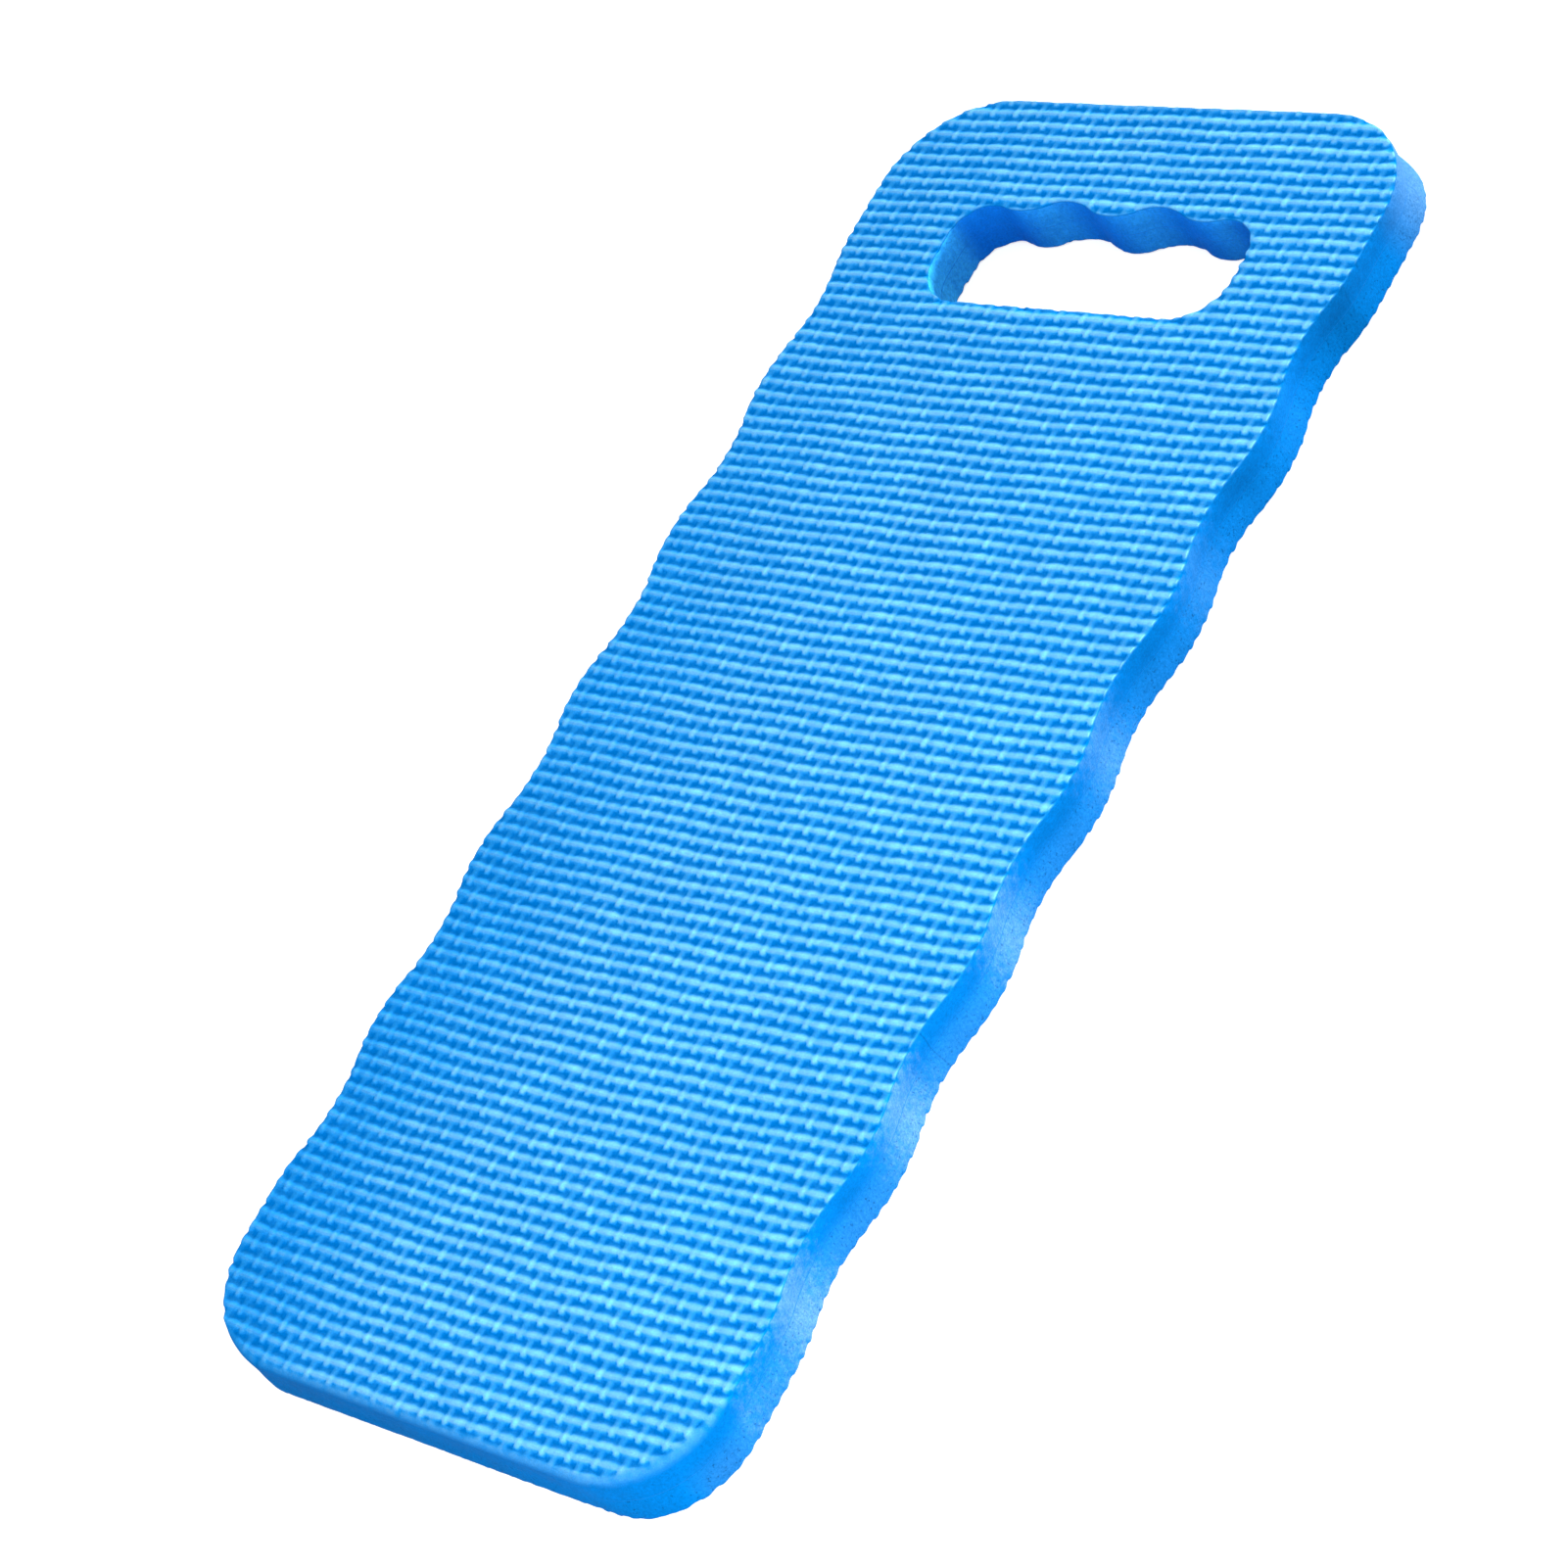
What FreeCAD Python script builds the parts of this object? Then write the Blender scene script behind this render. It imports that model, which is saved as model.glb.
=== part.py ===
# Kickboard float: a flat closed-cell foam board for swimmers, held by the hand hole at one end.
#
# Two equal foam sheets, embossed on their outer faces, are glued face to face. The board and its
# hand hole are then die-cut in one stroke. Foam gives under the knife and springs back, so the
# outer wall comes out slightly waisted: full size at both faces, drawn in at the glue line.
#
# Frame: X across the board, Y along it with the hand hole at +Y, Z up through the thickness.
# The origin is the centre of the underside.

import FreeCAD, Part
import math
import os

# Driving dimensions, in millimetres.
LENGTH = 430.0
WIDTH = 182.0                # over the crests of the scalloped long sides
THICKNESS = 17.4
GLUE_THICKNESS = 0.2
UNDERSIDE_CORNER_RADIUS = 29.0
TOP_CORNER_RADIUS = 33.0     # larger, because the knife drags the corners of the top face inwards
WAIST = 1.2                  # how far the outer wall is drawn in at the glue line

SCALLOP_PITCH = 55.2         # from one crest of a long side to the next
SCALLOP_DEPTH = 3.5
SCALLOP_HOLLOWS = 6
SCALLOP_CENTRE_Y = -2.0      # middle of the row of scallops

HOLE_FROM_END = 73.5         # from the board's +Y end to the straight edge of the hand hole
HOLE_WIDTH = 108.0
PALM_CORNER_RADIUS = 15.0    # corners of the straight edge, where the palm rests
FINGER_CORNER_RADIUS = 11.5  # corners of the finger edge
FINGER_PITCH = 33.5
FINGER_BUMP_Y = 33.5         # from the straight edge to the bumps between the fingers
FINGER_HOLLOW_DEPTH = 4.2    # depth of the two middle finger hollows beyond the bumps
OUTER_FINGER_Y = 34.9        # from the straight edge to the two outer finger hollows

HALF_LENGTH = LENGTH / 2
HALF_WIDTH = WIDTH / 2
GLUE_LINE_CORNER_RADIUS = (UNDERSIDE_CORNER_RADIUS + TOP_CORNER_RADIUS) / 2
SHEET_THICKNESS = (THICKNESS - GLUE_THICKNESS) / 2


def point(x, y):
    return FreeCAD.Vector(x, y, 0)


def arc(start, middle, end):
    return Part.Arc(point(*start), point(*middle), point(*end)).toShape()


def line(start, end):
    return Part.LineSegment(point(*start), point(*end)).toShape()


def round_corner(centre, radius, start_angle):
    """A quarter circle, counter-clockwise from start_angle in degrees."""
    def at(angle):
        turn = math.radians(angle)
        return (centre[0] + radius * math.cos(turn), centre[1] + radius * math.sin(turn))

    return arc(at(start_angle), at(start_angle + 45), at(start_angle + 90))


def wave_radius(pitch, depth):
    """Radius of the equal, alternately hollow and full arcs that make a wave."""
    quarter = pitch / 4
    rise = depth / 2
    return (quarter ** 2 + rise ** 2) / (2 * rise)


def scalloped_side(corner_radius):
    """The +X long side from the near corner to the far one, as tangent lines and arcs."""
    quarter = SCALLOP_PITCH / 4
    radius = wave_radius(SCALLOP_PITCH, SCALLOP_DEPTH)
    reach = SCALLOP_HOLLOWS * SCALLOP_PITCH / 2
    first_y = SCALLOP_CENTRE_Y - reach
    last_y = SCALLOP_CENTRE_Y + reach
    mid_x = HALF_WIDTH - SCALLOP_DEPTH / 2
    shoulder_x = HALF_WIDTH - radius + math.sqrt(radius ** 2 - (quarter / 2) ** 2)
    corner_y = HALF_LENGTH - corner_radius

    edges = [
        line((HALF_WIDTH, -corner_y), (HALF_WIDTH, first_y)),
        arc((HALF_WIDTH, first_y), (shoulder_x, first_y + quarter / 2), (mid_x, first_y + quarter)),
    ]
    half_waves = 2 * SCALLOP_HOLLOWS - 1
    for index in range(half_waves):
        peak_y = first_y + (index + 1) * SCALLOP_PITCH / 2
        is_hollow = index % 2 == 0
        peak_x = HALF_WIDTH - SCALLOP_DEPTH if is_hollow else HALF_WIDTH
        edges.append(arc((mid_x, peak_y - quarter), (peak_x, peak_y), (mid_x, peak_y + quarter)))
    edges.append(
        arc((mid_x, last_y - quarter), (shoulder_x, last_y - quarter / 2), (HALF_WIDTH, last_y))
    )
    edges.append(line((HALF_WIDTH, last_y), (HALF_WIDTH, corner_y)))
    return edges


def mirrored_across(edges):
    """The same edges on the -X side, in the order that keeps the outline running one way."""
    return [edge.mirror(point(0, 0), point(1, 0)) for edge in reversed(edges)]


def closed_wire(edges):
    return Part.Wire(Part.sortEdges(edges)[0])


def board_wire(corner_radius):
    """The board's full outline at the height where its corners have this radius."""
    corner_x = HALF_WIDTH - corner_radius
    corner_y = HALF_LENGTH - corner_radius
    right = [round_corner((corner_x, -corner_y), corner_radius, 270)]
    right += scalloped_side(corner_radius)
    right.append(round_corner((corner_x, corner_y), corner_radius, 0))
    far_end = line((corner_x, HALF_LENGTH), (-corner_x, HALF_LENGTH))
    near_end = line((-corner_x, -HALF_LENGTH), (corner_x, -HALF_LENGTH))
    return closed_wire(right + [far_end] + mirrored_across(right) + [near_end])


def inner_tangent(centre_a, radius_a, centre_b, radius_b):
    """Ends of the straight line that leaves circle a and joins circle b on its other side."""
    dx = centre_b[0] - centre_a[0]
    dy = centre_b[1] - centre_a[1]
    normal = math.atan2(dy, dx) - math.acos((radius_a + radius_b) / math.hypot(dx, dy))
    cos_n = math.cos(normal)
    sin_n = math.sin(normal)
    leave = (centre_a[0] + radius_a * cos_n, centre_a[1] + radius_a * sin_n)
    join = (centre_b[0] - radius_b * cos_n, centre_b[1] - radius_b * sin_n)
    return leave, join


def on_circle_between(centre, radius, start, end):
    """The point of a circle half-way along its short arc between two of its points."""
    mid_x = (start[0] + end[0]) / 2 - centre[0]
    mid_y = (start[1] + end[1]) / 2 - centre[1]
    scale = radius / math.hypot(mid_x, mid_y)
    return (centre[0] + mid_x * scale, centre[1] + mid_y * scale)


def hole_half():
    """The +X half of the hand hole, from the middle of its straight edge to its middle bump."""
    palm_y = HALF_LENGTH - HOLE_FROM_END
    bump_y = palm_y + FINGER_BUMP_Y
    half = HOLE_WIDTH / 2
    quarter = FINGER_PITCH / 4
    mid_y = bump_y + FINGER_HOLLOW_DEPTH / 2
    wave = wave_radius(FINGER_PITCH, FINGER_HOLLOW_DEPTH)
    palm_corner = (half - PALM_CORNER_RADIUS, palm_y + PALM_CORNER_RADIUS)
    finger_corner = (half - FINGER_CORNER_RADIUS, palm_y + OUTER_FINGER_Y - FINGER_CORNER_RADIUS)
    bump = (FINGER_PITCH, bump_y + wave)
    leave, join = inner_tangent(bump, wave, finger_corner, FINGER_CORNER_RADIUS)
    corner_end = (half, finger_corner[1])
    bump_start = (FINGER_PITCH - quarter, mid_y)
    middle_shoulder = (quarter / 2, bump_y + wave - math.sqrt(wave ** 2 - (quarter / 2) ** 2))

    return [
        line((0, palm_y), (palm_corner[0], palm_y)),
        round_corner(palm_corner, PALM_CORNER_RADIUS, 270),
        line((half, palm_corner[1]), corner_end),
        arc(corner_end, on_circle_between(finger_corner, FINGER_CORNER_RADIUS, corner_end, join), join),
        line(join, leave),
        arc(leave, on_circle_between(bump, wave, leave, bump_start), bump_start),
        arc(bump_start, (FINGER_PITCH / 2, bump_y + FINGER_HOLLOW_DEPTH), (quarter, mid_y)),
        arc((quarter, mid_y), middle_shoulder, (0, bump_y)),
    ]


def hole_wire():
    half = hole_half()
    return closed_wire(half + mirrored_across(half))


def glue_line_wire():
    """The board's outline at the glue line, where the wall is drawn in."""
    return board_wire(GLUE_LINE_CORNER_RADIUS).makeOffset2D(-WAIST)


def hand_hole(height):
    return Part.Face(hole_wire()).extrude(FreeCAD.Vector(0, 0, height))


def foam_sheet(base_z, lower_outline, upper_outline):
    """One foam sheet, its wall sloping from one outline to the other, with the hand hole cut."""
    upper_outline.translate(FreeCAD.Vector(0, 0, SHEET_THICKNESS))
    sheet = Part.makeLoft([lower_outline, upper_outline], True, True)
    sheet = sheet.cut(hand_hole(SHEET_THICKNESS))
    sheet.translate(FreeCAD.Vector(0, 0, base_z))
    return sheet


def bottom_sheet():
    return foam_sheet(0, board_wire(UNDERSIDE_CORNER_RADIUS), glue_line_wire())


def glue_film():
    film = Part.Face(glue_line_wire()).extrude(FreeCAD.Vector(0, 0, GLUE_THICKNESS))
    film = film.cut(hand_hole(GLUE_THICKNESS))
    film.translate(FreeCAD.Vector(0, 0, SHEET_THICKNESS))
    return film


def top_sheet():
    return foam_sheet(SHEET_THICKNESS + GLUE_THICKNESS, glue_line_wire(), board_wire(TOP_CORNER_RADIUS))


def write_node(name, shape):
    if shape.ShapeType == "Compound" and len(shape.Solids) == 1:
        shape = shape.Solids[0]
    if not shape.isValid():
        raise RuntimeError(name + " is not a valid solid")
    shape.exportStep(os.path.join("parts", name + ".step"))
    print(name, "volume %.0f mm3" % shape.Volume, shape.BoundBox)


os.makedirs("parts", exist_ok=True)
write_node("bottom_sheet", bottom_sheet())
write_node("glue_film", glue_film())
write_node("top_sheet", top_sheet())
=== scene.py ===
"""Kickboard float: the look of the blue foam board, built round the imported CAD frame.

Both foam sheets and the glue film between them are modelled as closed skins. A skin starts as an
outline walked in straight and round strokes, becomes rings of points that run over the edge and
down the cut wall, and is closed by triangulated faces. The outer faces carry the embossed weave as
real relief.

Units are metres. X runs across the board, Y along it with the hand hole at +Y, Z is up.
"""

import math

import bpy
import numpy as np
from mathutils import Matrix, Vector, noise
from mathutils.geometry import delaunay_2d_cdt
from mathutils.kdtree import KDTree


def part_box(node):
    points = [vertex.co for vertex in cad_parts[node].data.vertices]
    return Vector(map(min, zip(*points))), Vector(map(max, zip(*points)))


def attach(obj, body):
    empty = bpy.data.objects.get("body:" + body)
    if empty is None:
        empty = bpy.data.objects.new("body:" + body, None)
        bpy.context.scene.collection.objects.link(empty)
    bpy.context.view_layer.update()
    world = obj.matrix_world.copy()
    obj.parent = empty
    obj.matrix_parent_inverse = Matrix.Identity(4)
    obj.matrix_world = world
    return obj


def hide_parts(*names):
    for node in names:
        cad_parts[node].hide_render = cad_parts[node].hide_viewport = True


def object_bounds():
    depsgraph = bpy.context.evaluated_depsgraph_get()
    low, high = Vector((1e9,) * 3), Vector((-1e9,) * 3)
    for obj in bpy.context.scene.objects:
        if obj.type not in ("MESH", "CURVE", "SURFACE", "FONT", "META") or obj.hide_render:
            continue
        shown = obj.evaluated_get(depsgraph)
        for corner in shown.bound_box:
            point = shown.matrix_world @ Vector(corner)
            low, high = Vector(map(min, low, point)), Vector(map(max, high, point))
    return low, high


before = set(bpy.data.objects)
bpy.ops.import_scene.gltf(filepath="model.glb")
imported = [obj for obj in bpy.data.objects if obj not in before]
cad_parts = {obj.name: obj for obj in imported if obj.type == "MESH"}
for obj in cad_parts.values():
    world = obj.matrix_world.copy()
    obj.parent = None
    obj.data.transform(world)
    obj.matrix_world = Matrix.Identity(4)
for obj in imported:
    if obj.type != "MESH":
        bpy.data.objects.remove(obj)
low_at_load, high_at_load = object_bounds()

MM = 0.001

# The board, from the frame.
HALF_WIDTH = high_at_load.x
HALF_LENGTH = high_at_load.y
TOP_Z = high_at_load.z
UNDERSIDE_Z = low_at_load.z
GLUE_LOW, GLUE_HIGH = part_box("glue_film")
WAIST = HALF_WIDTH - GLUE_HIGH.x

# The outline, as the CAD draws it.
TOP_CORNER_RADIUS = 33 * MM
UNDERSIDE_CORNER_RADIUS = 29 * MM
GLUE_CORNER_RADIUS = (TOP_CORNER_RADIUS + UNDERSIDE_CORNER_RADIUS) / 2
SCALLOP_PITCH = 55.2 * MM
SCALLOP_DEPTH = 3.5 * MM
SCALLOP_HOLLOWS = 6
SCALLOP_CENTRE_Y = -2 * MM

HOLE_FROM_END = 73.5 * MM
HOLE_WIDTH = 108 * MM
PALM_CORNER_RADIUS = 15 * MM
FINGER_CORNER_RADIUS = 11.5 * MM
FINGER_PITCH = 33.5 * MM
FINGER_BUMP_Y = 33.5 * MM
FINGER_HOLLOW_DEPTH = 4.2 * MM
OUTER_FINGER_Y = 34.9 * MM

# The embossed weave: ribs run across the board and warps along it. Near is the -Y end.
WARP_PITCH = 4.37 * MM
RIB_PITCH = 4.49 * MM
WEAVE_DEPTH = 0.75 * MM
WEAVE_SHIFT_X = -0.5 * MM        # places a warp and a rib on the board
WEAVE_SHIFT_Y = 0.3 * MM
WARP_LEAN = 1.9 * MM             # how far the warps wander sideways from the middle to an end
WARP_BOW = 3.8 * MM
RIB_BOW = 2.7 * MM               # how far the ribs curve and tilt at the near end
RIB_TILT = 1.9 * MM
WANDER = 0.22 * MM               # slow waves on top of that
WARP_WANDER_WAVES = (83 * MM, 61 * MM)    # wavelengths along X and along Y
RIB_WANDER_WAVES = (47 * MM, -90 * MM)
RIB_SEED = 3
WARP_SEED = 5

# One crossing of the weave, counted in warps across and in ribs along the board.
RIB_CREST = 0.09                 # how far a rib's crest lies in front of its middle
FLOAT_REACH = 1.02               # half the length of a rib's float
NUB_REACH_ACROSS = 0.31
NUB_REACH_ALONG = 0.29
NUB_CENTRE = -0.17               # in front of the rib's middle
BAR_REACH_ACROSS = 0.32
BAR_HEIGHT = 0.95

# The edges.
KNIFE_JOINT_Y = -80 * MM
KNIFE_FOLD_Y = 157 * MM
# How far the painted shade before the fold reaches.
FOLD_SHADE_REACH = 22 * MM
CRISP_EDGE = 0.4 * MM
ROLLED_EDGE = 2.6 * MM           # the near +X corner, where the skin is pressed over the edge
CRISP_LIP = 0.9 * MM             # how far from the edge the knife has pinched the weave shut
ROLLED_LIP = 2.8 * MM
END_ROLL = 0.7                   # how much of the corner's roll the near end has
UNWAISTED = 0.85                 # how much of the waist is gone where the edge is rolled
RAGGED = 0.25 * MM               # how much further the ribs reach over a crisp edge than the pits
PINCHED_RELIEF = 0.55            # where the weave ends up when it is pressed flat
PINCHED = 0.35                   # how much of the edge has its weave pressed flat by the knife
OPEN_SIDE = 0.5                  # how much less of the +X edge is pressed flat
PINCH_SIZE = 3.5 * MM
GLUE_SWELL = 0.03 * MM

# Where these start and where they have fully come in.
CORNER_ROLL_REACH = (34 * MM, 10 * MM)
END_ROLL_Y = (-HALF_LENGTH + 9 * MM, -HALF_LENGTH + 2 * MM)
UNWAISTED_Y = (-HALF_LENGTH + 12 * MM, -HALF_LENGTH)
OPEN_SIDE_X = (0.7 * HALF_WIDTH, 0.85 * HALF_WIDTH)

# The meshes.
EDGE_SPACING = 0.6 * MM          # between the points of an outline
FIRST_RING = 0.45 * MM           # from the rounding to the first ring of the flat face
EDGE_STEPS = 5
WALL_STEPS = 10
GLUE_STEPS = 5
SPARE_THREADS = 3                # lattice beyond the board's edge, before it is trimmed
SHARP_ANGLE = math.radians(75)

# Each skin's materials, by their place in its list.
FACE_MATERIAL = 0
WALL_MATERIAL = 1
HOLE_MATERIAL = 2

# The bake map, a unit square: the embossed face, the glued face, then the walls in strips.
BAKE_MARGIN = 0.02
BAKE_LENGTH = 1 - 2 * BAKE_MARGIN
BAKE_FACE_AT = 0.01
BAKE_CAP_AT = 0.43
BAKE_BOARD_WALL_AT = 0.86
BAKE_HOLE_WALL_AT = 0.945
BAKE_HOLE_SCALE = (0.5, 0.3)
BAKE_STRIPS = 3
BAKE_STRIP_PITCH = 0.03
BAKE_STRIP_WIDTH = 0.024


# ---------------------------------------------------------------- outlines

def walk(start, strokes):
    """Points and right-hand normals along (length, turn, steps) strokes, first stroke along +X."""
    points = []
    normals = []
    position = np.array(start)
    heading = 0.0
    for length, turn, steps in strokes:
        part = np.arange(steps + 1) / steps
        angle = heading + turn * part
        if turn:
            radius = length / turn
            along = np.sin(angle) - math.sin(heading)
            aside = math.cos(heading) - np.cos(angle)
            path = radius * np.stack([along, aside], 1)
        else:
            path = np.outer(part * length, [math.cos(heading), math.sin(heading)])
        points.append(position + path[:-1])
        normals.append(np.stack([np.sin(angle), -np.cos(angle)], 1)[:-1])
        position = position + path[-1]
        heading = angle[-1]
    return np.concatenate(points), np.concatenate(normals)


def bend(radius, turn):
    """A round stroke. Positive turns go left."""
    return (radius * abs(turn), turn)


def straight(length):
    return (length, 0)


def both_halves(strokes):
    """Strokes of the +X half followed by their mirror image."""
    return strokes + strokes[::-1]


def wave_arc(pitch, depth):
    """Radius of a wave's arcs, and the turn from a crest to the point half-way down."""
    quarter = pitch / 4
    rise = depth / 2
    radius = (quarter ** 2 + rise ** 2) / (2 * rise)
    return radius, math.asin(quarter / radius)


def board_strokes(corner_radius):
    radius, turn = wave_arc(SCALLOP_PITCH, SCALLOP_DEPTH)
    reach = SCALLOP_HOLLOWS * SCALLOP_PITCH / 2
    corner_y = HALF_LENGTH - corner_radius
    end = straight(HALF_WIDTH - corner_radius)
    corner = bend(corner_radius, math.pi / 2)
    half = [end, corner, straight(corner_y + SCALLOP_CENTRE_Y - reach), bend(radius, turn)]
    for _ in range(SCALLOP_HOLLOWS - 1):
        half += [bend(radius, -2 * turn), bend(radius, 2 * turn)]
    half += [bend(radius, -2 * turn), bend(radius, turn)]
    half += [straight(corner_y - SCALLOP_CENTRE_Y - reach), corner, end]
    return both_halves(half)


def hole_strokes():
    radius, turn = wave_arc(FINGER_PITCH, FINGER_HOLLOW_DEPTH)
    across = HOLE_WIDTH / 2 - FINGER_CORNER_RADIUS - FINGER_PITCH
    along = OUTER_FINGER_Y - FINGER_CORNER_RADIUS - FINGER_BUMP_Y - radius
    distance = math.hypot(across, along)
    reach = radius + FINGER_CORNER_RADIUS
    # The heading of the short straight line between the corner and the first bump.
    tangent = math.atan2(along, across) - math.acos(reach / distance) + 2 * math.pi - math.pi / 2
    half = [
        straight(HOLE_WIDTH / 2 - PALM_CORNER_RADIUS),
        bend(PALM_CORNER_RADIUS, math.pi / 2),
        straight(OUTER_FINGER_Y - FINGER_CORNER_RADIUS - PALM_CORNER_RADIUS),
        bend(FINGER_CORNER_RADIUS, tangent - math.pi / 2),
        straight(math.sqrt(distance ** 2 - reach ** 2)),
        bend(radius, math.pi - turn - tangent),
        bend(radius, 2 * turn),
        bend(radius, -turn),
    ]
    return both_halves(half)


def stepped(strokes, like):
    """The strokes with step counts taken from like, so that outlines of one family match."""
    counts = [max(1, round(length / EDGE_SPACING)) for length, turn in like]
    return [stroke + (count,) for stroke, count in zip(strokes, counts)]


def board_outline(corner_radius):
    """The board's outline, with normals pointing out of the foam."""
    strokes = stepped(board_strokes(corner_radius), board_strokes(GLUE_CORNER_RADIUS))
    return walk((0, -HALF_LENGTH), strokes)


def hole_outline():
    """The hand hole, with normals pointing out of the foam and into the hole."""
    strokes = hole_strokes()
    points, normals = walk((0, HALF_LENGTH - HOLE_FROM_END), stepped(strokes, strokes))
    return points, -normals


# ---------------------------------------------------------------- the weave

def smooth_rise(start, end, value):
    part = np.clip((value - start) / (end - start), 0, 1)
    return part * part * (3 - 2 * part)


def wander(x, y, wave_x, wave_y):
    """A slow wave across the board, from its wavelengths along X and along Y."""
    return WANDER * np.sin(2 * math.pi * (x / wave_x + y / wave_y))


def weave_drift(x, y):
    """How far the weave's threads have wandered from a straight lattice."""
    along = y / HALF_LENGTH
    across = x / HALF_WIDTH
    near = (1 - along) / 2
    sideways = -WARP_LEAN * along - WARP_BOW * along ** 2
    lengthways = -near * (RIB_BOW * across ** 2 + RIB_TILT * across * near)
    sideways = sideways + wander(x, y, *WARP_WANDER_WAVES)
    lengthways = lengthways + wander(x, y, *RIB_WANDER_WAVES)
    return sideways, lengthways


def weave_place(x, y):
    """Position counted in warps and ribs."""
    sideways, lengthways = weave_drift(x, y)
    warp = (x + WEAVE_SHIFT_X + sideways) / WARP_PITCH
    rib = (y + WEAVE_SHIFT_Y + lengthways) / RIB_PITCH
    return warp, rib


def thread_variation(row, column, seed):
    """A fixed random number from -1 to 1 for each crossing of the weave."""
    table = np.random.default_rng(seed).uniform(-1, 1, (128, 64))
    rows, columns = table.shape
    return table[row.astype(int) % rows, column.astype(int) % columns]


def rib_height(from_float, from_crest):
    """The ribs across the board: lens-shaped floats, steep on the near side, easing off behind."""
    lens = np.clip(1 - (from_float / FLOAT_REACH) ** 2, 0, 1)
    near_side = np.clip(1 - (from_crest / (0.08 + 0.15 * lens)) ** 2, 0, 1)
    far_side = np.cos(np.clip(from_crest / (0.32 + 0.26 * lens), 0, 1) * math.pi / 2) ** 1.3
    return np.where(from_crest < 0, near_side, far_side) * (0.5 + 0.42 * lens ** 0.6)


def warp_height(from_column, from_nub):
    """The threads along the board: a round nub over the near side of a rib, and a bar behind it."""
    across = from_column / NUB_REACH_ACROSS
    along = (from_nub - NUB_CENTRE) / NUB_REACH_ALONG
    dome = np.clip(1 - across ** 2 - along ** 2, 0, 1) ** 0.5
    fall = 1 - 0.5 * smooth_rise(0, 0.35, from_nub) - 0.4 * smooth_rise(0.6, 1, from_nub)
    profile = np.clip(1 - (from_column / BAR_REACH_ACROSS) ** 2, 0, 1) ** 0.6
    bar = smooth_rise(-0.4, -0.15, from_nub) * fall * profile * BAR_HEIGHT
    return np.maximum(dome, bar)


def weave_height(x, y):
    """The relief, from 0 in the pits to 1 on the nubs where a warp crosses over a rib."""
    warp, rib = weave_place(x, y)
    row = np.round(rib + RIB_CREST)
    column = np.round(warp)
    from_float = (warp - row + 1) % 2 - 1
    from_nub = (rib - column) % 2 - 1
    float_column = np.round(warp - from_float)
    nub_row = np.round(rib - from_nub)
    across = rib_height(from_float, rib - row + RIB_CREST)
    across = across * (0.96 + 0.09 * thread_variation(row, float_column, RIB_SEED))
    along = warp_height(warp - column, from_nub)
    along = along * (0.93 + 0.09 * thread_variation(nub_row, column, WARP_SEED))
    return (across ** 5 + along ** 5) ** 0.2


def lattice_points(steps_across, steps_along):
    """Points on the weave's own lattice, over an area a little larger than the board."""
    columns = math.ceil(HALF_WIDTH / WARP_PITCH) + SPARE_THREADS
    rows = math.ceil(HALF_LENGTH / RIB_PITCH) + SPARE_THREADS
    warp = np.arange(-columns * steps_across, columns * steps_across + 1) / steps_across
    rib = np.arange(-rows * steps_along, rows * steps_along + 1) / steps_along
    warp, rib = (grid.ravel() for grid in np.meshgrid(warp, rib))
    x = warp * WARP_PITCH
    y = rib * RIB_PITCH
    # Each pass moves the points closer to the wandering threads. Four are plenty.
    for _ in range(4):
        now_warp, now_rib = weave_place(x, y)
        x = x + (warp - now_warp) * WARP_PITCH
        y = y + (rib - now_rib) * RIB_PITCH
    return np.stack([x, y], 1)


def inside_edges(points, edge_points, edge_normals, clearance):
    """The points that lie in the foam at least this far from every edge, and their distances."""
    tree = KDTree(len(edge_points))
    for index, (x, y) in enumerate(edge_points):
        tree.insert((x, y, 0), index)
    tree.balance()
    nearest = np.array([tree.find((x, y, 0))[1] for x, y in points])
    outward = np.sum((points - edge_points[nearest]) * edge_normals[nearest], 1)
    inside = outward < -clearance
    return points[inside], -outward[inside]


# ---------------------------------------------------------------- skins

def rolled(x, y):
    """How much the upper edge is rolled over: fully at the near +X corner, less on that end."""
    inset = 0.2 * TOP_CORNER_RADIUS
    from_corner = np.hypot(x - HALF_WIDTH + inset, y + HALF_LENGTH - inset)
    corner = smooth_rise(*CORNER_ROLL_REACH, from_corner)
    end = END_ROLL * smooth_rise(*END_ROLL_Y, y)
    return np.maximum(corner, end)


def edge_radius(roll):
    return CRISP_EDGE + (ROLLED_EDGE - CRISP_EDGE) * roll


def face_relief(x, y, from_edge, roll, open_side):
    """The weave's relief with its pits closing towards the edge, here and there or all along it.

    On the +X side, unless open_side is 0, the pits mostly run out through the edge.
    """
    relief = weave_height(x, y)
    pinched = PINCHED - OPEN_SIDE * open_side * smooth_rise(*OPEN_SIDE_X, x)
    pinch = np.array([noise.noise(Vector((a, b, 0)) / PINCH_SIZE) for a, b in zip(x, y)])
    strength = np.clip(pinched + 1.2 * pinch + 1.2 * roll, 0, 1)
    lip = CRISP_LIP + (ROLLED_LIP - CRISP_LIP) * roll
    closed = strength * smooth_rise(1.2, 0.6, from_edge / lip)
    return relief + (PINCHED_RELIEF - relief) * closed


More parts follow.
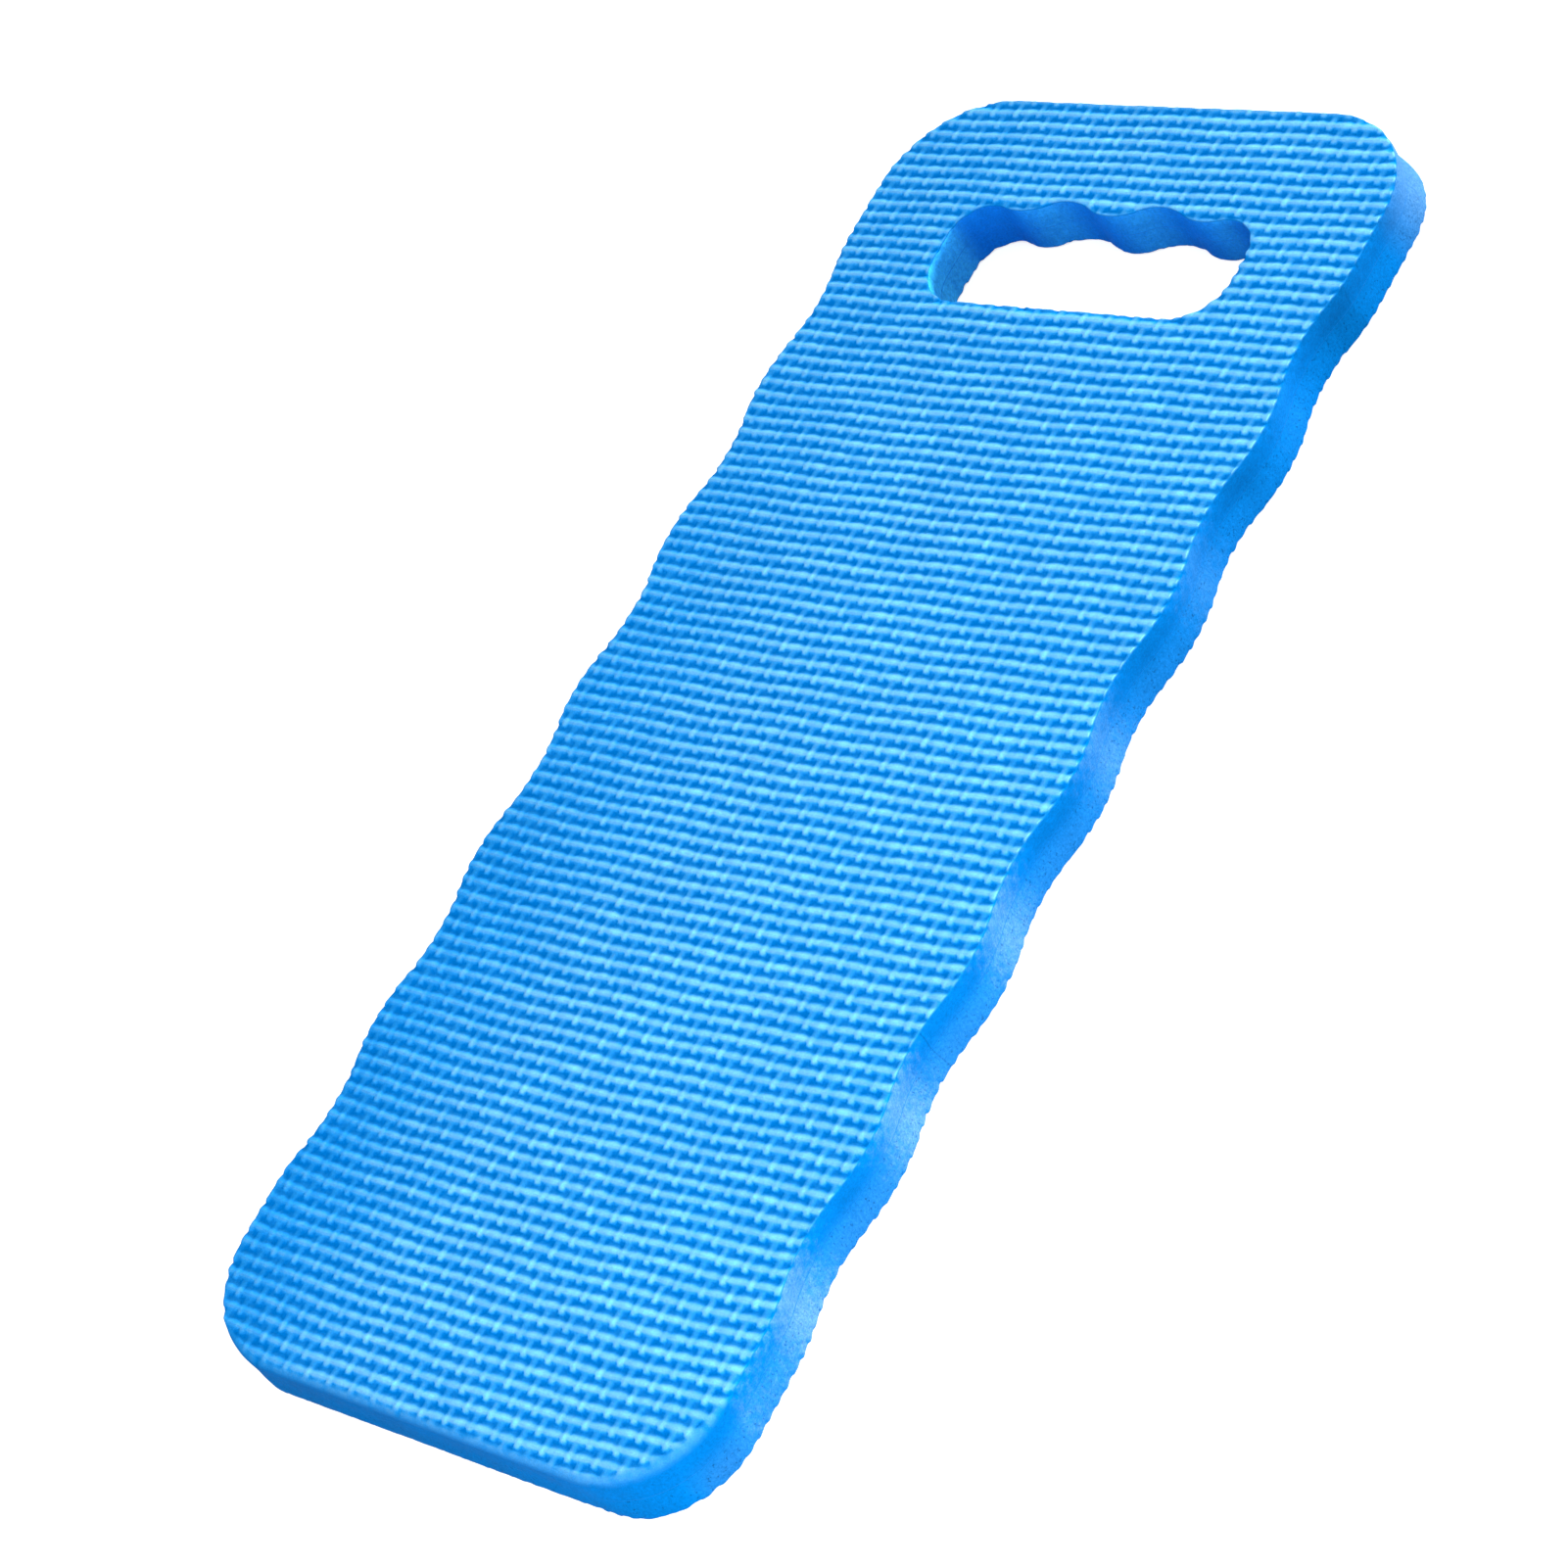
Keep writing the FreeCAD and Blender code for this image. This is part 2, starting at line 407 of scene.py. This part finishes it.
def foam_rings(face_outline, glue_outline, normals, roll, depth, waist, open_side):
    """Rings of (x, y, depth below the face) from the embossed face over the edge to the glue line.

    Also gives the relief at each point.
    """
    radius = edge_radius(roll)
    # Each step over the edge: how far inside the outline it is, and how far it falls.
    steps = [(radius + FIRST_RING, 0)]
    for angle in np.linspace(0, math.pi / 2, EDGE_STEPS):
        steps.append((radius * (1 - np.sin(angle)), radius * (1 - np.cos(angle))))

    rings = []
    reliefs = []
    for inset, fall in steps:
        ring = face_outline - normals * inset[:, None]
        relief = face_relief(ring[:, 0], ring[:, 1], inset, roll, open_side)
        ring = ring + normals * (RAGGED * (relief - PINCHED_RELIEF))[:, None]
        rings.append(np.column_stack([ring, WEAVE_DEPTH * (1 - relief) + fall]))
        reliefs.append(relief)
    last_drop = rings[-1][:, 2]
    overhang = RAGGED * (reliefs[-1] - PINCHED_RELIEF)
    for part in np.linspace(0, 1, WALL_STEPS + 1)[1:]:
        drawn_in = waist * math.sin(math.pi / 2 * part ** 1.3) ** 2
        drawn_in = drawn_in - overhang * smooth_rise(0.4, 0, part)
        ring = face_outline + (glue_outline - face_outline) * part - normals * drawn_in[:, None]
        rings.append(np.column_stack([ring, last_drop + (depth - last_drop) * part]))
        reliefs.append(reliefs[-1])
    return np.array(rings), np.array(reliefs)


def triangulated(board, hole, inside):
    """Triangles, as indices into board + hole + inside, that fill the board round the hole."""
    points = np.concatenate([board, hole, inside])
    board_loop = list(range(len(board)))
    hole_loop = list(range(len(board), len(board) + len(hole)))
    coordinates = [Vector(point) for point in points.tolist()]
    made, _, faces, _, _, sources = delaunay_2d_cdt(
        coordinates, [], [board_loop, hole_loop], 1, 1e-9, True
    )
    if len(made) != len(points):
        raise RuntimeError("the outline crosses itself or a point lies on it")
    return np.array([face for face, source in zip(faces, sources) if source == [0]])


def wall_quads(first, rings, count):
    """Quads between neighbouring rings that start at vertex number first, facing outwards."""
    level, step = (grid.ravel() for grid in np.mgrid[0:rings - 1, 0:count])
    following = (step + 1) % count
    upper = first + level * count
    lower = upper + count
    quads = np.stack([upper + step, lower + step, lower + following, upper + following], 1)
    return quads, level, step


def wall_layout(level, step, rings, count, start):
    """Bake-map corners of wall quads, unrolled into strips beside the faces."""
    per_strip = math.ceil(count / BAKE_STRIPS)
    column = start + (step // per_strip) * BAKE_STRIP_PITCH
    along = BAKE_MARGIN + (step % per_strip) / per_strip * BAKE_LENGTH
    after = along + BAKE_LENGTH / per_strip
    near = column + level / (rings - 1) * BAKE_STRIP_WIDTH
    far = column + (level + 1) / (rings - 1) * BAKE_STRIP_WIDTH
    corners = [(near, along), (far, along), (far, after), (near, after)]
    return np.stack([np.stack(corner, 1) for corner in corners], 1)


def flat_layout(points, triangles, start):
    """Bake-map corners of a face seen square on."""
    scale = BAKE_LENGTH / (2 * HALF_LENGTH)
    place = (points[:, :2] + [HALF_WIDTH, HALF_LENGTH]) * scale + [start, BAKE_MARGIN]
    return place[triangles]


def closing_faces(board_rings, hole_rings, inside):
    """Triangles, as vertex numbers, that close a skin at its first rings and at its last ones."""
    levels, board_count = board_rings.shape[:2]
    hole_count = hole_rings.shape[1]
    hole_first = levels * board_count
    inside_first = hole_first + levels * hole_count

    def closed(level, points):
        board = level * board_count + np.arange(board_count)
        hole = hole_first + level * hole_count + np.arange(hole_count)
        order = np.concatenate([board, hole, inside_first + np.arange(len(points))])
        outlines = (board_rings[level, :, :2], hole_rings[level, :, :2])
        return order[triangulated(*outlines, points[:, :2])]

    return closed(0, inside), closed(levels - 1, inside[:0])


def set_on_points(mesh, title, parts):
    """Stores a number on each vertex, for the materials to read."""
    attribute = mesh.attributes.new(title, "FLOAT", "POINT")
    attribute.data.foreach_set("value", np.concatenate([part.ravel() for part in parts]))


def placed(name, data):
    """A new object in the scene, from its mesh, light or camera."""
    made = bpy.data.objects.new(name, data)
    bpy.context.scene.collection.objects.link(made)
    return made


def skin(name, board_rings, hole_rings, inside, reliefs, base_z, direction, materials, edge_levels):
    """A closed skin. Depths in the rings count from base_z, downwards if direction is -1.

    The first edge_levels levels of the walls are still embossed. The rest is cut.
    """
    levels, board_count = board_rings.shape[:2]
    hole_count = hole_rings.shape[1]
    vertices = np.concatenate([board_rings.reshape(-1, 3), hole_rings.reshape(-1, 3), inside])
    face, cap = closing_faces(board_rings, hole_rings, inside)
    board_wall, board_level, board_step = wall_quads(0, levels, board_count)
    hole_wall, hole_level, hole_step = wall_quads(levels * board_count, levels, hole_count)

    hole_layout = wall_layout(hole_level, hole_step, levels, hole_count, 0)
    layout = [
        flat_layout(vertices, face, BAKE_FACE_AT),
        flat_layout(vertices, cap, BAKE_CAP_AT)[:, ::-1],
        wall_layout(board_level, board_step, levels, board_count, BAKE_BOARD_WALL_AT),
        hole_layout[:, ::-1] * BAKE_HOLE_SCALE + [BAKE_HOLE_WALL_AT, 0],
    ]
    parts = [face, cap[:, ::-1], board_wall, hole_wall[:, ::-1]]
    if direction > 0:
        parts = [part[:, ::-1] for part in parts]
        layout = [part[:, ::-1] for part in layout]
    vertices[:, 2] = base_z + direction * vertices[:, 2]

    mesh = bpy.data.meshes.new(name)
    mesh.from_pydata(vertices.tolist(), [], [face for part in parts for face in part.tolist()])
    bake = mesh.uv_layers.new(name="OFBake")
    bake.data.foreach_set("uv", np.concatenate([part.reshape(-1, 2) for part in layout]).ravel())

    material = [
        np.full(len(face), FACE_MATERIAL),
        np.full(len(cap), WALL_MATERIAL),
        np.where(board_level < edge_levels, FACE_MATERIAL, WALL_MATERIAL),
        np.where(hole_level < edge_levels, FACE_MATERIAL, HOLE_MATERIAL),
    ]
    mesh.polygons.foreach_set("material_index", np.concatenate(material).astype(np.int32))
    smooth = np.ones(len(mesh.polygons), dtype=bool)
    smooth[len(face):len(face) + len(cap)] = False
    mesh.polygons.foreach_set("use_smooth", smooth)
    over_edge = smooth_rise(0, 1, np.arange(levels) / max(edge_levels, 1))
    uncut = np.zeros(len(inside))
    cut = [np.repeat(over_edge, board_count), np.repeat(over_edge, hole_count), uncut]
    set_on_points(mesh, "relief", reliefs)
    set_on_points(mesh, "cut", cut)
    for look in materials:
        mesh.materials.append(look)
    mesh.set_sharp_from_angle(angle=SHARP_ANGLE)
    mesh.validate()
    return placed(name, mesh)


def glue_inset(outline):
    """How far the wall is drawn in at the glue line. Rolled edges pull it out again."""
    end = smooth_rise(*UNWAISTED_Y, outline[:, 1])
    return WAIST * (1 - UNWAISTED * np.maximum(end, rolled(*outline.T)))


def foam_sheet(name, face_z, glue_z, corner_radius, steps, upper, materials):
    """A foam sheet. Upper is 1 for the sheet with the rolled corner and open side, or else 0."""
    depth = abs(face_z - glue_z)
    face_outline, normals = board_outline(corner_radius)
    glue_outline, _ = board_outline(GLUE_CORNER_RADIUS)
    hole, hole_normals = hole_outline()
    roll = upper * rolled(*face_outline.T)
    board_rings, board_relief = foam_rings(
        face_outline, glue_outline, normals, roll, depth, glue_inset(glue_outline), upper
    )
    none = np.zeros(len(hole))
    hole_rings, hole_relief = foam_rings(hole, hole, hole_normals, none, depth, none, upper)

    edge_points = np.concatenate([board_rings[0, :, :2], hole_rings[0, :, :2]])
    edge_normals = np.concatenate([normals, hole_normals])
    lattice = lattice_points(*steps)
    inside, from_ring = inside_edges(lattice, edge_points, edge_normals, 0.5 * EDGE_SPACING)
    x, y = inside.T
    roll = upper * rolled(x, y)
    inside_relief = face_relief(x, y, from_ring + edge_radius(roll) + FIRST_RING, roll, upper)
    inside = np.column_stack([inside, WEAVE_DEPTH * (1 - inside_relief)])
    reliefs = [board_relief, hole_relief, inside_relief]
    direction = -1 if face_z > glue_z else 1
    return skin(
        name, board_rings, hole_rings, inside, reliefs, face_z, direction, materials, EDGE_STEPS
    )


def glue_film(materials):
    """The cured adhesive, flush with the walls."""
    outline, normals = board_outline(GLUE_CORNER_RADIUS)
    hole, hole_normals = hole_outline()
    thickness = GLUE_HIGH.z - GLUE_LOW.z

    def rings(points, outward, inset):
        made = []
        for part in np.linspace(0, 1, GLUE_STEPS):
            swell = GLUE_SWELL * math.sin(math.pi * part)
            ring = points + outward * (swell - inset)[:, None]
            made.append(np.column_stack([ring, np.full(len(points), part * thickness)]))
        return np.array(made)

    board_rings = rings(outline, normals, glue_inset(outline))
    hole_rings = rings(hole, hole_normals, np.zeros(len(hole)))
    reliefs = [np.zeros(board_rings.shape[:2]), np.zeros(hole_rings.shape[:2])]
    no_points = np.empty((0, 3))
    return skin(
        "glue_film_skin", board_rings, hole_rings, no_points, reliefs, GLUE_HIGH.z, -1, materials, 0
    )


# ---------------------------------------------------------------- materials

class Nodes:
    """A short way to lay out a node material."""

    def __init__(self, name):
        self.material = bpy.data.materials.new(name)
        self.material.use_nodes = True
        self.tree = self.material.node_tree
        self.shader = self.tree.nodes["Principled BSDF"]

    def add(self, kind, settings=None, **inputs):
        """A node with these properties set and these inputs fed."""
        node = self.tree.nodes.new("ShaderNode" + kind)
        for key, value in (settings or {}).items():
            setattr(node, key, value)
        for key, value in inputs.items():
            self.feed(node, key, value)
        return node

    def feed(self, node, socket, value):
        """Sets an input, or links it if the value is another node's output."""
        target = node.inputs[socket]
        if isinstance(value, bpy.types.NodeSocket):
            self.tree.links.new(value, target)
        else:
            target.default_value = value

    def noise(self, place, scale, detail=3.0, roughness=0.6):
        node = self.add("TexNoise", Vector=place, Scale=scale, Detail=detail, Roughness=roughness)
        return node.outputs["Fac"]

    def remap(self, value, low, high, to_low, to_high):
        """A number moved smoothly from one range to another."""
        node = self.add("MapRange", {"interpolation_type": "SMOOTHSTEP"})
        for socket, number in zip(("Value", "From Min", "From Max", "To Min", "To Max"),
                                  (value, low, high, to_low, to_high)):
            self.feed(node, socket, number)
        return node.outputs["Result"]

    def vary(self, noise_value, low, high):
        """Noise, which keeps mostly between 0.3 and 0.7, stretched to run from low to high."""
        return self.remap(noise_value, 0.3, 0.7, low, high)

    def split(self, vector):
        """The X, Y and Z outputs of a vector."""
        return self.add("SeparateXYZ", Vector=vector).outputs

    def place(self):
        return self.add("TexCoord").outputs["Object"]

    def attribute(self, title):
        return self.add("Attribute", {"attribute_name": title}).outputs["Fac"]

    def normal(self):
        return self.add("NewGeometry").outputs["Normal"]

    def bump(self, height, strength, distance):
        node = self.add("Bump", Height=height, Strength=strength, Distance=distance)
        self.feed(self.shader, "Normal", node.outputs["Normal"])

    def surface(self, colour, roughness, specular):
        self.feed(self.shader, "Base Color", colour)
        self.feed(self.shader, "Roughness", roughness)
        self.feed(self.shader, "Specular IOR Level", specular)

    def math(self, operation, first, second):
        node = self.add("Math", {"operation": operation})
        self.feed(node, 0, first)
        self.feed(node, 1, second)
        return node.outputs["Value"]

    def distance(self, value, centre):
        return self.math("ABSOLUTE", self.math("SUBTRACT", value, centre), 0)

    def product(self, *values):
        result = values[0]
        for value in values[1:]:
            result = self.math("MULTIPLY", result, value)
        return result

    def ramp(self, factor, stops):
        """A colour ramp from (position, (red, green, blue)) stops."""
        node = self.add("ValToRGB", Fac=factor)
        elements = node.color_ramp.elements
        while len(elements) < len(stops):
            elements.new(0.5)
        for element, (position, colour) in zip(elements, stops):
            element.position = position
            element.color = (*colour, 1)
        return node.outputs["Color"]

    def blend(self, factor, first, second):
        """A mix of two colours, from the first at 0 to the second at 1."""
        node = self.add("Mix", {"data_type": "RGBA"}, Factor=factor)
        colour_sockets = [socket for socket in node.inputs if socket.type == "RGBA"]
        for socket, value in zip(colour_sockets, (first, second)):
            if isinstance(value, bpy.types.NodeSocket):
                self.tree.links.new(value, socket)
            else:
                socket.default_value = (*value, 1)
        return next(socket for socket in node.outputs if socket.type == "RGBA")

    def tint(self, colour, strength):
        """The colour scaled by a number."""
        node = self.add("VectorMath", {"operation": "SCALE"})
        self.feed(node, "Vector", colour)
        self.feed(node, "Scale", strength)
        return node.outputs["Vector"]


# Linear red, green and blue.
# The weave's colours carry painted light: the pits are painted darker as shade, the ribs and nubs
# paler as highlight.
SHADED_PIT_BLUE = (0.0, 0.18, 0.61)
FLANK_BLUE = (0.018, 0.295, 0.79)
LIT_RIB_BLUE = (0.115, 0.45, 0.85)
LIT_NUB_BLUE = (0.15, 0.63, 0.92)
GLINT_BLUE = (0.22, 0.78, 0.97)
UPPER_CUT_BLUE = (0.0, 0.128, 0.425)
LOWER_CUT_BLUE = (0.0, 0.132, 0.43)
HOLE_BLUE = (0.003, 0.155, 0.62)
# Painted light and sheen on the +X wall.
WALL_LIGHT_BLUE = (0.07, 0.2, 0.4)
# Painted light on the +X-facing walls of the hand hole.
GRIP_LIGHT_BLUE = (0.045, 0.5, 0.98)
GLUE_BLUE = (0.0, 0.126, 0.42)
FLOOR_GREY = (0.6, 0.6, 0.6)

# The studio.
FLOOR_GLOW = 0.7
FLOOR_SIZE = 24
FLOOR_GAP = 0.05 * MM
WORLD_STRENGTH = 0.66


def painted_rib_glint(nodes, spot, relief, cut):
    """A painted glint on the ribs just before they go over the far +X edge."""
    along_edge = nodes.remap(nodes.distance(cut, 0.2), 0, 0.2, 1, 0)
    on_rib = nodes.remap(relief, 0.5, 0.8, 0, 1)
    this_side = nodes.remap(spot["X"], *OPEN_SIDE_X, 0, 1)
    far = nodes.remap(spot["Y"], -0.6 * HALF_LENGTH, 0.2 * HALF_LENGTH, 0, 1)
    return nodes.product(along_edge, on_rib, this_side, far)


def embossed_foam():
    """The moulded skin of the outer faces. It turns into bare foam where it goes over an edge.

    Its colour carries painted light: darker in the pits, paler on the ribs and nubs, and less bright
    along the -X side, most of all at the near end, where it is also less glossy.
    """
    nodes = Nodes("embossed_foam")
    place = nodes.place()
    relief = nodes.attribute("relief")
    cut = nodes.attribute("cut")
    cells = nodes.noise(place, 3200, 2)
    patches = nodes.noise(place, 35, 4)
    worn = nodes.noise(place, 380, 4)

    spot = nodes.split(place)
    # Painted shade: the ribs and nubs are painted less bright towards the -X side, most of all at the
    # near end.
    left = nodes.remap(spot["X"], -0.2 * HALF_WIDTH, -HALF_WIDTH, 0, 0.22)
    left_shade = nodes.product(left, nodes.remap(spot["Y"], HALF_LENGTH, -HALF_LENGTH, 0.6, 2.2))
    shaded_relief = nodes.product(relief, nodes.math("SUBTRACT", 1.0, left_shade))
    uneven = nodes.math("ADD", shaded_relief, nodes.vary(worn, -0.11, 0.11))
    # Painted shade in the pits and painted highlight on the ribs and nubs, following the relief.
    colour = nodes.ramp(uneven, [(0, SHADED_PIT_BLUE), (0.4, FLANK_BLUE), (0.8, LIT_RIB_BLUE), (1, LIT_NUB_BLUE)])
    colour = nodes.blend(cut, colour, UPPER_CUT_BLUE)
    # A painted glint on the rib ends along the far +X edge.
    colour = nodes.blend(painted_rib_glint(nodes, spot, relief, cut), colour, GLINT_BLUE)
    shade = nodes.product(nodes.vary(cells, 0.88, 1.12), nodes.vary(patches, 0.96, 1.04))
    gloss = nodes.product(nodes.remap(shaded_relief, 0.25, 0.95, 0, 0.5), nodes.remap(cut, 0, 1, 1, 0.1))
    nodes.surface(nodes.tint(colour, shade), nodes.vary(worn, 0.42, 0.56), gloss)
    nodes.bump(cells, 0.35, 0.06 * MM)
    return nodes.material


def painted_wall_light(nodes, place):
    """Where the +X wall is painted paler with painted light and sheen: the far corner, and two places
    towards the -Y end.

    Those are the lower part of the wall and the sides of the scallops that face +Y.
    """
    spot = nodes.split(place)
    facing = nodes.split(nodes.normal())
    blur = nodes.vary(nodes.noise(place, 500, 6, 0.8), -0.09, 0.09)
    turned = nodes.remap(nodes.math("ADD", facing["Y"], blur), -0.06, 0.30, 0, 1)
    long_side = nodes.remap(facing["X"], 0.70, 0.94, 0, 1)
    low = nodes.remap(spot["Z"], TOP_Z - 5 * MM, UNDERSIDE_Z + 3 * MM, 0, 0.2)
    near = nodes.remap(spot["Y"], 150 * MM, -110 * MM, 0, 1)
    far = nodes.remap(spot["Y"], HALF_LENGTH - 40 * MM, HALF_LENGTH - 14 * MM, 0, 0.9)
    far_corner = nodes.product(far, nodes.remap(spot["X"], 0.5 * HALF_WIDTH, 0.8 * HALF_WIDTH, 0, 1))
    sides = nodes.product(near, long_side, nodes.math("ADD", low, turned))
    grains = nodes.vary(nodes.noise(place, 1500, 4, 0.7), 0.6, 1)
    return nodes.product(grains, nodes.math("MAXIMUM", sides, far_corner))


def painted_grip_light(nodes, place):
    """Where the hand hole is painted paler with painted light from the +X side: at its -X end, and a
    little on the +X-facing finger bumps.
    """
    spot = nodes.split(place)
    facing = nodes.split(nodes.normal())
    turned = nodes.remap(facing["X"], -0.3, 0.5, 0, 1)
    hole_end = nodes.remap(facing["Y"], -0.6, 0.35, 0, 1)
    fingers = nodes.remap(spot["X"], -0.4 * HOLE_WIDTH, -0.3 * HOLE_WIDTH, 0, 0.35)
    grains = nodes.remap(nodes.noise(place, 700, 4, 0.7), 0.35, 0.65, 0.55, 1)
    return nodes.product(turned, nodes.math("MAXIMUM", hole_end, fingers), grains)


def joint_line_and_fold_shade(nodes, place):
    """A shade factor for the +X wall: a thin dark line at the knife's joint, and painted shade on the
    -Y side of a sharp fold near the far end.
    """
    spot = nodes.split(place)
    from_joint = nodes.distance(spot["Y"], KNIFE_JOINT_Y)
    joint = nodes.remap(from_joint, 0.1 * MM, 0.35 * MM, 0.24, 0)
    # Painted shade on the -Y-facing wall just before the fold.
    before = nodes.remap(spot["Y"], KNIFE_FOLD_Y - FOLD_SHADE_REACH, KNIFE_FOLD_Y, 0, 0.12)
    after = nodes.remap(spot["Y"], KNIFE_FOLD_Y, KNIFE_FOLD_Y + 0.5 * MM, 1, 0)
    fold_shade = nodes.product(before, after)
    this_side = nodes.remap(spot["X"], 0.8 * HALF_WIDTH, 0.85 * HALF_WIDTH, 0, 1)
    return nodes.math("SUBTRACT", 1.0, nodes.product(this_side, nodes.math("ADD", joint, fold_shade)))


def cut_foam(name, blue, lit_blue, painted_light, pore_depth):
    """The knife-cut wall: fine opened cells, scattered pores and streaks across the thickness.

    One of the arguments is the function that says where the wall is painted paler, with painted light
    and sheen.
    """
    nodes = Nodes(name)
    place = nodes.place()
    stretched = nodes.add("Mapping", Vector=place, Scale=(1, 1, 0.12))
    streaks = nodes.noise(stretched.outputs["Vector"], 1100, 3)
    cells = nodes.noise(place, 1500, 4, 0.75)
    pores = nodes.remap(nodes.noise(place, 1300, 2, 0.5), 0.28, 0.42, 1, 0)
    patches = nodes.noise(place, 60, 3)
    shade = nodes.product(
        nodes.vary(cells, 0.84, 1.16),
        nodes.vary(patches, 0.93, 1.07),
        nodes.vary(streaks, 0.97, 1.03),
        nodes.remap(pores, 0, 1, 1, 1 - pore_depth),
        joint_line_and_fold_shade(nodes, place),
    )
    # Painted light and sheen: the wall is blended to a paler blue where the given function says.
    colour = nodes.blend(painted_light(nodes, place), blue, lit_blue)
    nodes.surface(nodes.tint(colour, shade), nodes.vary(patches, 0.55, 0.7), 0.01)
    height = nodes.math("ADD", cells, nodes.product(streaks, 0.6))
    height = nodes.math("SUBTRACT", height, nodes.product(pores, 2 * pore_depth))
    nodes.bump(height, 0.6, 0.08 * MM)
    return nodes.material


def cured_glue(name, blue):
    """The thin line of adhesive in the wall: the foam's blue, a little lumpy and glossier."""
    nodes = Nodes(name)
    lumps = nodes.noise(nodes.place(), 900, 3)
    nodes.surface(nodes.tint(blue, nodes.vary(lumps, 0.85, 1.1)), nodes.vary(lumps, 0.4, 0.6), 0.05)
    nodes.bump(lumps, 0.4, 0.05 * MM)
    return nodes.material


def studio_floor():
    """A pale floor, lit from within for the camera so that it stays white under the board."""
    nodes = Nodes("studio_floor")
    mottle = nodes.noise(nodes.place(), 3, 3)
    nodes.surface(nodes.tint(FLOOR_GREY, nodes.vary(mottle, 0.99, 1.01)), 0.85, 0.1)
    seen = nodes.add("LightPath").outputs["Is Camera Ray"]
    nodes.feed(nodes.shader, "Emission Color", (1, 1, 1, 1))
    nodes.feed(nodes.shader, "Emission Strength", nodes.product(seen, FLOOR_GLOW))
    return nodes.material


# ---------------------------------------------------------------- the studio

def floor():
    """A wide sheet just under the board."""
    half = FLOOR_SIZE / 2
    z = UNDERSIDE_Z - FLOOR_GAP
    corners = [(-half, -half, z), (half, -half, z), (half, half, z), (-half, half, z)]
    mesh = bpy.data.meshes.new("floor")
    mesh.from_pydata(corners, [], [(0, 1, 2, 3)])
    mesh.materials.append(studio_floor())
    return placed("floor", mesh)


def area_light(name, place, aim, size, watts):
    """A soft light that the camera doesn't see."""
    data = bpy.data.lights.new(name, "AREA")
    data.shape = "RECTANGLE"
    data.size, data.size_y = size
    data.energy = watts
    light = placed(name, data)
    light.location = place
    light.visible_camera = False
    light.rotation_euler = (Vector(aim) - Vector(place)).to_track_quat("-Z", "Y").to_euler()


def studio_light():
    """Soft even light, a low strong light far behind the board, and weaker ones around it."""
    world = bpy.data.worlds.new("studio")
    world.use_nodes = True
    background = world.node_tree.nodes["Background"]
    background.inputs["Color"].default_value = (1, 1, 1, 1)
    background.inputs["Strength"].default_value = WORLD_STRENGTH
    bpy.context.scene.world = world
    centre = (0, 0, TOP_Z)
    side_wall = (HALF_WIDTH, -50 * MM, TOP_Z / 2)
    near_corner = (0.8 * HALF_WIDTH, -HALF_LENGTH, TOP_Z / 2)
    area_light("overhead", place=(0.28, 0.10, 0.55), aim=centre, size=(0.4, 0.4), watts=1.4)
    area_light("front", place=(0.10, -1.30, 0.60), aim=centre, size=(0.8, 0.5), watts=7.5)
    area_light("back", place=(0.85, 2.85, 0.24), aim=centre, size=(1.0, 0.4), watts=200)
    area_light("side", place=(0.30, -0.10, 0.045), aim=side_wall, size=(0.2, 0.05), watts=0.52)
    area_light("corner", place=(0.22, -0.32, 0.06), aim=near_corner, size=(0.1, 0.05), watts=0.28)


def camera():
    """The photograph's view, a long lens looking down across the board and rolled to one side."""
    azimuth = math.radians(63.92)
    elevation = math.radians(40.73)
    roll = math.radians(-42.2)
    distance = 1.1277
    aim = Vector((2.24 * MM, -19.86 * MM, TOP_Z))
    back = Vector((
        math.sin(azimuth) * math.cos(elevation),
        -math.cos(azimuth) * math.cos(elevation),
        math.sin(elevation),
    ))
    data = bpy.data.cameras.new("camera")
    data.sensor_width = 36
    data.lens = 97.94
    data.clip_start = 0.01
    data.clip_end = 100
    made = placed("camera", data)
    place = Matrix.Translation(aim + back * distance)
    level = Matrix.Rotation(azimuth, 4, "Z") @ Matrix.Rotation(math.pi / 2 - elevation, 4, "X")
    made.matrix_world = place @ level @ Matrix.Rotation(roll, 4, "Z")
    bpy.context.scene.camera = made


# ---------------------------------------------------------------- the scene

embossed = embossed_foam()
# The cut walls and the hand hole are painted paler where light and sheen would fall on them.
upper_foam = cut_foam("cut_foam_upper", UPPER_CUT_BLUE, WALL_LIGHT_BLUE, painted_wall_light, 0.15)
lower_foam = cut_foam("cut_foam_lower", LOWER_CUT_BLUE, WALL_LIGHT_BLUE, painted_wall_light, 0.4)
hole_foam = cut_foam("cut_foam_hole", HOLE_BLUE, GRIP_LIGHT_BLUE, painted_grip_light, 0.15)
upper_materials = [embossed, upper_foam, hole_foam]
lower_materials = [embossed, lower_foam, hole_foam]
glue = cured_glue("cured_glue", GLUE_BLUE)
glue_materials = [glue, glue, cured_glue("cured_glue_hole", HOLE_BLUE)]

top_skin = foam_sheet(
    name="top_sheet_skin",
    face_z=TOP_Z,
    glue_z=GLUE_HIGH.z,
    corner_radius=TOP_CORNER_RADIUS,
    steps=(6, 8),
    upper=1,
    materials=upper_materials,
)
bottom_skin = foam_sheet(
    name="bottom_sheet_skin",
    face_z=UNDERSIDE_Z,
    glue_z=GLUE_LOW.z,
    corner_radius=UNDERSIDE_CORNER_RADIUS,
    steps=(4, 5),
    upper=0,
    materials=lower_materials,
)
film_skin = glue_film(glue_materials)

for piece, node, slot in (
    (top_skin, "top_sheet", "foam"),
    (bottom_skin, "bottom_sheet", "foam"),
    (film_skin, "glue_film", "adhesive"),
):
    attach(piece, "root")
    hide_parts(node)

floor()
studio_light()
camera()
bpy.context.scene.view_settings.view_transform = "Standard"
